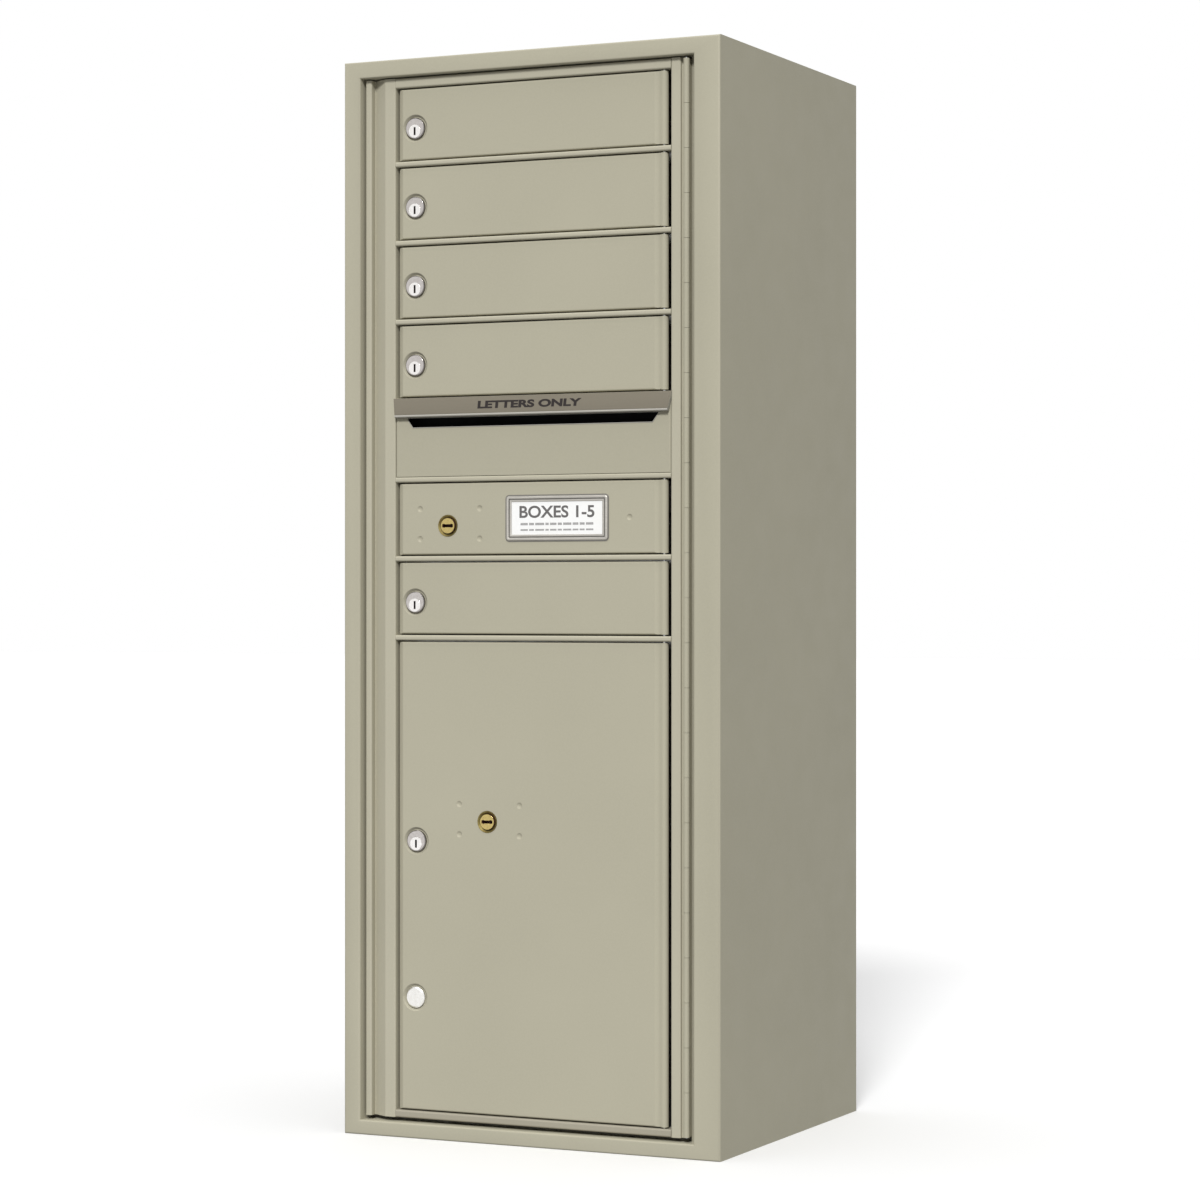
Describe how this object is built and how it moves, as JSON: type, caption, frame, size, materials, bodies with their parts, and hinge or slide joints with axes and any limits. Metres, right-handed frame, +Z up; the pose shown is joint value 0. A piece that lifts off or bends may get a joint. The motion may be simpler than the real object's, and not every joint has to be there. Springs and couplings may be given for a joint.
{
  "type": "cluster mailbox unit",
  "caption": "Front-loading cluster mailbox in a surface-mount collar: tenant doors, outgoing mail slot, carrier lock panel and parcel locker on one hinged master door.",
  "frame": {"origin": "middle of the footprint, on the floor", "axes": "+X to the right seen from the front, +Y into the wall, +Z up"},
  "size_m": [0.464, 0.406, 1.213],
  "materials": {
    "collar_paint": "powder coat, warm grey, fine orange peel",
    "frame_paint": "powder coat, warm grey, satin",
    "door_paint": "powder coat, warm grey, satin",
    "hood_paint": "powder coat, taupe, satin",
    "cabinet_aluminium": "mill finish sheet",
    "hinge_paint": "powder coat over the hinge leaves",
    "steel": "zinc plated",
    "lock_chrome": "polished nickel-chrome",
    "lock_brass": "machined brass, lightly tarnished",
    "slot_black": "matt black, seen only through the slot",
    "label_frame": "satin frame",
    "label_card": "white printed card"
  },
  "bodies": {
    "cabinet": {"collar_left": "collar_paint", "collar_right": "collar_paint", "collar_top": "collar_paint", "collar_bottom": "collar_paint", "collar_screws": "steel", "cabinet_left_side": "cabinet_aluminium", "cabinet_right_side": "cabinet_aluminium", "cabinet_top": "cabinet_aluminium", "cabinet_floor": "cabinet_aluminium", "back_panel": "cabinet_aluminium", "compartment_shelves": "cabinet_aluminium", "hinge_leaf_fixed": "hinge_paint", "hinge_pin": "steel"},
    "master_door": {"master_left_stile": "frame_paint", "master_right_stile": "frame_paint", "master_top_rail": "frame_paint", "master_bottom_rail": "frame_paint", "master_cross_bars": "frame_paint", "hinge_leaf_moving": "hinge_paint", "door_hinge_pins": "steel", "outgoing_panel": "frame_paint", "outgoing_hood": "hood_paint", "outgoing_baffle": "slot_black", "lock_panel": "door_paint", "label_bezel": "label_frame", "label_card": "label_card", "arrow_lock_case": "lock_brass", "arrow_lock_nuts": "steel"},
    "arrow_key": {"arrow_lock_plug": "lock_brass"},
    "arrow_bolt": {"arrow_lock_bolt": "steel"},
    "parcel_leaf": {"parcel_door": "door_paint", "parcel_lock_body": "lock_chrome", "blank_cap": "lock_chrome", "control_lock_case": "lock_brass", "control_lock_nuts": "steel"},
    "parcel_key": {"parcel_lock_plug": "lock_chrome", "parcel_lock_cam": "steel"},
    "control_key": {"control_lock_plug": "lock_brass"},
    "control_bolt": {"control_lock_bolt": "steel"},
    "tenant_leaf_1": {"tenant_door_1": "door_paint", "tenant_lock_body_1": "lock_chrome"},
    "tenant_key_1": {"tenant_lock_plug_1": "lock_chrome", "tenant_lock_cam_1": "steel"},
    "tenant_leaf_2": {"tenant_door_2": "door_paint", "tenant_lock_body_2": "lock_chrome"},
    "tenant_key_2": {"tenant_lock_plug_2": "lock_chrome", "tenant_lock_cam_2": "steel"},
    "tenant_leaf_3": {"tenant_door_3": "door_paint", "tenant_lock_body_3": "lock_chrome"},
    "tenant_key_3": {"tenant_lock_plug_3": "lock_chrome", "tenant_lock_cam_3": "steel"},
    "tenant_leaf_4": {"tenant_door_4": "door_paint", "tenant_lock_body_4": "lock_chrome"},
    "tenant_key_4": {"tenant_lock_plug_4": "lock_chrome", "tenant_lock_cam_4": "steel"},
    "tenant_leaf_5": {"tenant_door_5": "door_paint", "tenant_lock_body_5": "lock_chrome"},
    "tenant_key_5": {"tenant_lock_plug_5": "lock_chrome", "tenant_lock_cam_5": "steel"}
  },
  "joints": [
    {"name": "master_hinge", "type": "hinge", "parent": "cabinet", "child": "master_door", "pos_m": [0.1895, -0.196, 0.6065], "axis": [0, 0, 1], "range_deg": [0, 100]},
    {"name": "tenant_hinge_1", "type": "hinge", "parent": "master_door", "child": "tenant_leaf_1", "pos_m": [0.15985, -0.1882, 1.13985], "axis": [0, 0, 1], "range_deg": [0, 95]},
    {"name": "tenant_lock_turn_1", "type": "hinge", "parent": "tenant_leaf_1", "child": "tenant_key_1", "pos_m": [-0.1463, -0.186, 1.13215], "axis": [0, 1, 0], "range_deg": [0, 90]},
    {"name": "tenant_hinge_2", "type": "hinge", "parent": "master_door", "child": "tenant_leaf_2", "pos_m": [0.15985, -0.1882, 1.05095], "axis": [0, 0, 1], "range_deg": [0, 95]},
    {"name": "tenant_lock_turn_2", "type": "hinge", "parent": "tenant_leaf_2", "child": "tenant_key_2", "pos_m": [-0.1463, -0.186, 1.04325], "axis": [0, 1, 0], "range_deg": [0, 90]},
    {"name": "tenant_hinge_3", "type": "hinge", "parent": "master_door", "child": "tenant_leaf_3", "pos_m": [0.15985, -0.1882, 0.96205], "axis": [0, 0, 1], "range_deg": [0, 95]},
    {"name": "tenant_lock_turn_3", "type": "hinge", "parent": "tenant_leaf_3", "child": "tenant_key_3", "pos_m": [-0.1463, -0.186, 0.95435], "axis": [0, 1, 0], "range_deg": [0, 90]},
    {"name": "tenant_hinge_4", "type": "hinge", "parent": "master_door", "child": "tenant_leaf_4", "pos_m": [0.15985, -0.1882, 0.87315], "axis": [0, 0, 1], "range_deg": [0, 95]},
    {"name": "tenant_lock_turn_4", "type": "hinge", "parent": "tenant_leaf_4", "child": "tenant_key_4", "pos_m": [-0.1463, -0.186, 0.86545], "axis": [0, 1, 0], "range_deg": [0, 90]},
    {"name": "tenant_hinge_5", "type": "hinge", "parent": "master_door", "child": "tenant_leaf_5", "pos_m": [0.15985, -0.1882, 0.60645], "axis": [0, 0, 1], "range_deg": [0, 95]},
    {"name": "tenant_lock_turn_5", "type": "hinge", "parent": "tenant_leaf_5", "child": "tenant_key_5", "pos_m": [-0.1463, -0.186, 0.59875], "axis": [0, 1, 0], "range_deg": [0, 90]},
    {"name": "parcel_hinge", "type": "hinge", "parent": "master_door", "child": "parcel_leaf", "pos_m": [0.15985, -0.1882, 0.2944], "axis": [0, 0, 1], "range_deg": [0, 95]},
    {"name": "parcel_lock_turn", "type": "hinge", "parent": "parcel_leaf", "child": "parcel_key", "pos_m": [-0.1446, -0.186, 0.3302], "axis": [0, 1, 0], "range_deg": [0, 90]},
    {"name": "control_lock_turn", "type": "hinge", "parent": "parcel_leaf", "child": "control_key", "pos_m": [-0.055, -0.186, 0.3571], "axis": [0, 1, 0], "range_deg": [0, 90]},
    {"name": "control_bolt_slide", "type": "slide", "parent": "parcel_leaf", "child": "control_bolt", "axis": [-1, 0, 0], "range_m": [0, 0.0095]},
    {"name": "arrow_lock_turn", "type": "hinge", "parent": "master_door", "child": "arrow_key", "pos_m": [-0.1046, -0.186, 0.6876], "axis": [0, 1, 0], "range_deg": [0, 90]},
    {"name": "arrow_bolt_slide", "type": "slide", "parent": "master_door", "child": "arrow_bolt", "axis": [-1, 0, 0], "range_m": [0, 0.0095]}
  ],
  "couplings": [
    {"joint": "control_lock_turn", "follows": "control_bolt_slide", "rad_per_m": 165.3},
    {"joint": "arrow_lock_turn", "follows": "arrow_bolt_slide", "rad_per_m": 165.3}
  ]
}
